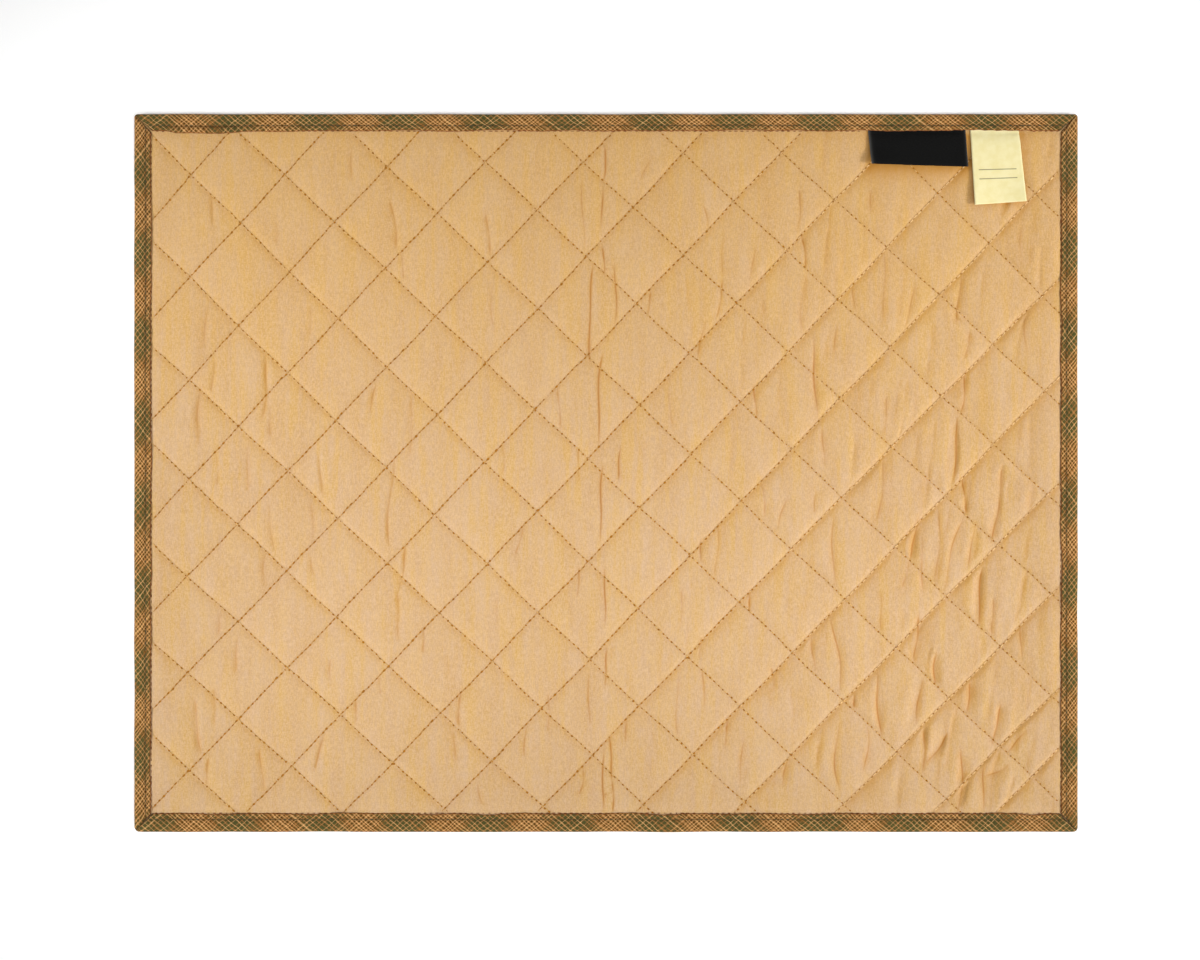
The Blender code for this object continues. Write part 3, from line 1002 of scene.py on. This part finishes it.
def makeQuiltStitches():
    for name, made in stitching["seams"].items():
        middles, ways = alongSeams(made["direction"])
        fuller = 1 + made["fuller"] * smooth(middles[:, 0], 0, 150)
        fainter = 1 - made["fainter"] * smooth(middles[:, 0], 20, 170)
        holes = middles + ways[:, :2] * (stitching["pitch"] / 2)
        threadSize, holeSize = stitching["thread"], stitching["hole"]
        holeSize = (holeSize[0] * made["longer"], *holeSize[1:])
        # the holes are dark discs of painted shade
        kinds = (
            ("Thread", threadModel, middles, stitching["threadLift"], threadSize, made["colour"], fuller),
            ("Hole", holeModel, holes, stitching["holeLift"], holeSize, "needleHole", fainter),
        )
        for facing, side in ((1, "Top"), (-1, "Under")):
            for kind, model, places, lift, size, colour, share in kinds:
                setAlong(
                    name + kind + side, model, onCloth(places, facing, lift), ways, size, colour,
                    facing, share,
                )


makeQuiltStitches()
print("quilting stitched")

# Binding: a bias strip folded over the edge, its lips turned under, mitred at the corners

binding = {
    "alongStep": 2.0,
    "mitreRows": (0.0, 0.3, 0.7, 1.3, 2.1),  # mm from a corner, closer where the mitre folds in
    "thickness": 0.3,
    "lip": 8.95,
    "groove": 6.15,  # where it is stitched down
    "middleHeight": 1.85,
    "cornerRound": {"nearLeft": 2.8, "nearRight": 2.3, "farRight": 1.6, "farLeft": 1.7},
    "edgeWave": 0.42,
    "scallop": 0.10,
    "wrinkle": 0.12,
    "pucker": 0.07,
    "deeperAtLeft": 1.4,
    "labelLift": 0.38,
    "mitreGroove": 0.55,
    "threads": {
        "grooveThread": {"into": 6.15, "height": 2.80, "size": (2.0, 0.42, 0.30), "colour": "oliveThread"},
        "edgeThread": {"into": 9.05, "height": 2.34, "size": (1.9, 0.50, 0.36), "colour": "rustThread"},
    },
}

# The strip's outer face from its lip on the backing, round the edge, to its lip beneath: mm in and up
bindingSection = (
    (7.3, 2.30), (8.3, 2.30), (8.8, 2.38), (8.95, 2.58), (8.82, 2.80), (8.35, 2.92), (7.5, 2.96), (6.6, 2.88),
    (6.15, 2.74), (5.7, 2.88), (5.2, 3.04), (4.5, 3.20), (3.5, 3.30), (2.3, 3.28), (1.3, 3.16), (0.6, 2.92),
    (0.18, 2.50), (0.0, 1.85), (0.12, 1.20), (0.5, 0.66), (1.2, 0.34), (2.4, 0.18), (3.8, 0.12), (5.0, 0.14),
    (5.7, 0.24), (6.15, 0.42), (6.6, 0.24), (7.8, 0.16), (8.8, 0.28), (8.95, 0.50), (8.7, 0.72), (7.3, 0.78),
)

# Each side: its turn, half its length, how far out it lies, where its check starts, its own unevenness,
# and the corners at its start and end
bindingSides = {
    "far": (180.0, 230.0, 175.0, 9.5, 1.0, ("farRight", "farLeft")),
    "near": (0.0, 230.0, 175.0, 4.0, 2.0, ("nearLeft", "nearRight")),
    "left": (-90.0, 175.0, 230.0, 12.0, 3.0, ("farLeft", "nearLeft")),
    "right": (90.0, 175.0, 230.0, 1.5, 4.0, ("nearRight", "farRight")),
}


def turned(x, y, turn):
    spin = math.radians(turn)
    return x * math.cos(spin) - y * math.sin(spin), x * math.sin(spin) + y * math.cos(spin)


def layStrip(name, turn, halfLong, outBy, start, phase, corners):
    steps = int(2 * halfLong / binding["alongStep"])
    ends = np.array(binding["mitreRows"])
    middle = np.linspace(ends[-1], 2 * halfLong - ends[-1], steps)
    stations = np.concatenate((ends[:-1], middle, (2 * halfLong - ends[:-1])[::-1])) - halfLong
    inward, height = np.array(bindingSection).T
    developed = np.concatenate(([0], np.cumsum(np.hypot(np.diff(inward), np.diff(height)))))
    strip, points = addGrid("strip" + name, len(stations) - 1, len(inward) - 1)
    column = np.rint((points[:, 0] + 1) / 2 * (len(stations) - 1)).astype(int)
    row = np.rint((1 - points[:, 1]) / 2 * (len(inward) - 1)).astype(int)
    along, into, high = stations[column], inward[row], height[row]
    fromEnd = halfLong - np.abs(along)
    along = along / halfLong * (halfLong - into)

    def uneven(shift, size, seed):
        return softNoise(along, along * 0 + phase * shift, size, seed)

    # the inner edges wander, and the lips pucker a little along the stitching
    lipShare = smooth(into, 4.0, 8.6)
    wander = binding["edgeWave"] * uneven(40, 26, 41)
    scallop = binding["scallop"] * np.sin(math.tau * along / stitching["pitch"])
    scallop += binding["wrinkle"] * uneven(20, 7, 44)
    wider = (quilt["lips"][name] / binding["lip"] - 1) * smooth(into, 3, 6)
    wide = into * np.where(into > 3, 1 + wider, 1)
    if name == "far":  # folded in further near the left corner
        wander += binding["deeperAtLeft"] * smooth(along, halfLong - 80, halfLong - 20)
    wide += lipShare * (wander + scallop) * smooth(fromEnd, 6, 14)
    wide += (1 - lipShare) * binding["wrinkle"] * uneven(70, 34, 42) * smooth(fromEnd, 6, 14)
    pucker = binding["pucker"] * softNoise(along, into * 2.0 + phase * 90, 9, 43)
    pucker += 0.05 * scallop / 0.1 * smooth(into, 5.0, 6.3)
    above = high > binding["middleHeight"]
    tall = high + np.where(above, 1, 0.3) * pucker * smooth(fromEnd, 2, 6)
    # a fold line at the mitre, sunk towards the middle of the strip's thickness
    sunk = binding["mitreGroove"] * np.exp(-fromEnd / 0.45) - 0.16 * np.exp(-(((fromEnd - 2.2) / 1.2) ** 2))
    tall += np.where(above, -1, 1) * sunk * np.abs(high - binding["middleHeight"]) / 1.45
    if name == "far":  # lifted over the labels' sewn ends
        overLabels = smooth(along * -1, 122, 130) * (1 - smooth(along * -1, 203, 211))
        tall += binding["labelLift"] * overLabels * smooth(high, 1.6, 2.4) * smooth(into, 4.6, 8.2)
    tall = np.maximum(tall, 0.02)
    x, y = along, -(outBy - wide)
    # outer corners rounded off
    before, after = (binding["cornerRound"][each] for each in corners)
    rounding = np.where(x > 0, after, before)
    overX, overY = np.abs(x) - (halfLong - rounding), np.abs(y) - (outBy - rounding)
    corner = (overX > 0) & (overY > 0)
    shrink = np.maximum(overX, overY) / np.maximum(np.hypot(overX, overY), 1e-6)
    x = np.where(corner, np.sign(x) * (halfLong - rounding + overX * shrink), x)
    y = np.where(corner, np.sign(y) * (outBy - rounding + overY * shrink), y)
    putPoints(strip, *turned(x, y, turn), tall)
    # painted shade along the lip's turned edge and on the rows beneath the lip
    edge = np.exp(-((developed[row] - 1.75) / 0.45) ** 2) * 0.85
    writeShade(strip, "edgeShade", np.clip(edge + 0.8 * (row < 2), 0, 0.9))
    # painted shade in the stitched groove and at the mitre folds
    sewnGrooveShade = np.exp(-(((into - binding["groove"]) / 0.42) ** 2)) * (0.55 + 0.25 * uneven(55, 45, 45))
    writeShade(strip, "grooveShade", np.clip(sewnGrooveShade + np.exp(-((fromEnd / 0.5) ** 2)) * 0.75, 0, 0.8))
    writeMap(strip, strip.data.uv_layers.new(name="stripWay"), along + start, developed[row])
    return strip


def makeBinding():
    strips = [layStrip(name, *made) for name, made in bindingSides.items()]
    for strip in strips:  # only the strip's own map is kept
        for layer in [each for each in strip.data.uv_layers if each.name != "stripWay"]:
            strip.data.uv_layers.remove(layer)
    pick(*strips)
    bpy.ops.object.join()
    whole = bpy.context.object
    whole.name = "biasBinding"
    startEditing("SELECT")
    bpy.ops.mesh.remove_doubles(threshold=0.00004)
    stopEditing()
    bpy.ops.object.shade_smooth()
    thicken(whole, binding["thickness"], -1)
    whole.data.materials.append(checkCloth)
    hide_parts("edge_binding")
    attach(whole, "root")
    return whole


bindingPiece = makeBinding()
print("binding made", len(bindingPiece.data.polygons))


def makeBindingStitches():
    # dark thread sunk in the strip, and rust thread caught along its inner edge
    for name, made in binding["threads"].items():
        centres, ways = [], []
        for side, (turn, halfLong, outBy, *others) in bindingSides.items():
            into = made["into"] * quilt["lips"][side] / binding["lip"]
            marks = np.arange(-(halfLong - into - 1.5), halfLong - into - 1.5, stitching["pitch"])
            placed = np.stack(turned(marks, np.full(len(marks), -(outBy - into)), turn), axis=1)
            labelled = (np.abs(placed[:, 0] - 166) < 40) & (placed[:, 1] > 160)
            height = made["height"] + np.where(labelled, binding["labelLift"], 0)
            keep = ~labelled if name == "edgeThread" else np.ones(len(marks), bool)
            centres.append(np.column_stack((placed, height))[keep])
            ways.append(np.tile((*turned(1, 0, turn), 0), (len(marks), 1))[keep])
        centres, ways = np.concatenate(centres), np.concatenate(ways)
        setAlong(name, threadModel, centres, ways, made["size"], made["colour"])


makeBindingStitches()
print("binding stitched")

# Labels, bare, each sewn in under the far lip: their corners across and up, and how they lift, in mm

labels = {
    "blackLabel": {
        "node": "black_label", "slot": "black_satin", "material": satinCloth,
        "top": ((127.8, 165.4), (175.3, 165.2)), "foot": ((129.1, 150.4), (176.3, 149.1)),
        "liftLeft": 2.3, "liftRight": 0.7,
    },
    "careLabel": {
        "node": "care_label", "slot": "pale_tape", "material": tapeCloth,
        "top": ((177.5, 165.5), (201.3, 164.9)), "foot": ((179.4, 130.5), (204.7, 132.3)),
        "liftLeft": 1.2, "liftRight": 1.0,
    },
}
labelCut = {
    "tucked": 2.6, "step": 0.7, "thickness": 0.28, "sewnHeight": 2.51, "clear": 3.9, "riseOver": 2.6,
    "aboveCloth": 0.35, "sag": 0.25, "wave": 0.08,
}


def makeLabel(name, made):
    (topLeft, topRight), (footLeft, footRight) = np.array(made["top"]), np.array(made["foot"])
    wide = math.dist(topLeft, topRight)
    drop = (math.dist(topLeft, footLeft) + math.dist(topRight, footRight)) / 2
    long = drop + labelCut["tucked"]
    label, points = addGrid(name, int(wide / labelCut["step"]), int(long / labelCut["step"]))
    right = (points[:, 0] + 1) / 2
    down = (1 - points[:, 1]) / 2 * long - labelCut["tucked"]
    share = down / drop
    top = between(topLeft, topRight, right[:, None])
    foot = between(footLeft, footRight, right[:, None])
    across, up = between(top, foot, share[:, None]).T
    out = np.maximum(down, 0)
    rise = (labelCut["clear"] - labelCut["sewnHeight"]) * (1 - np.exp(-out / labelCut["riseOver"]))
    free = smooth(share, 0.35, 1.0) ** 1.4
    lift = made["liftLeft"] * (1 - right) ** 1.8 + made["liftRight"] * right**2.2
    height = labelCut["sewnHeight"] + rise + free * lift - free * labelCut["sag"] * np.sin(math.pi * right)
    height += labelCut["wave"] * softNoise(across, up, 16, 51) * smooth(out, 1, 5)
    onMat = quiltHeight(across, up)[0] + labelCut["aboveCloth"]
    height = np.where(out > 0, np.maximum(height, onMat), height)
    putPoints(label, across, up, height)
    label.data.uv_layers.active.name = "labelWay"
    writeMap(label, label.data.uv_layers.active, right * wide, down)
    # paler along the label's left edge, and a little along its right
    edge = np.exp(-right * wide / 0.5) + 0.4 * np.exp(-(1 - right) * wide / 0.4)
    writeShade(label, "edgeShade", np.clip(edge, 0, 1))
    pick(label)
    bpy.ops.object.shade_smooth()
    thicken(label, labelCut["thickness"], 0)
    label.data.materials.append(made["material"])
    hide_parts(made["node"])
    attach(label, "root")


for labelName, labelMade in labels.items():
    makeLabel(labelName, labelMade)
print("labels made")
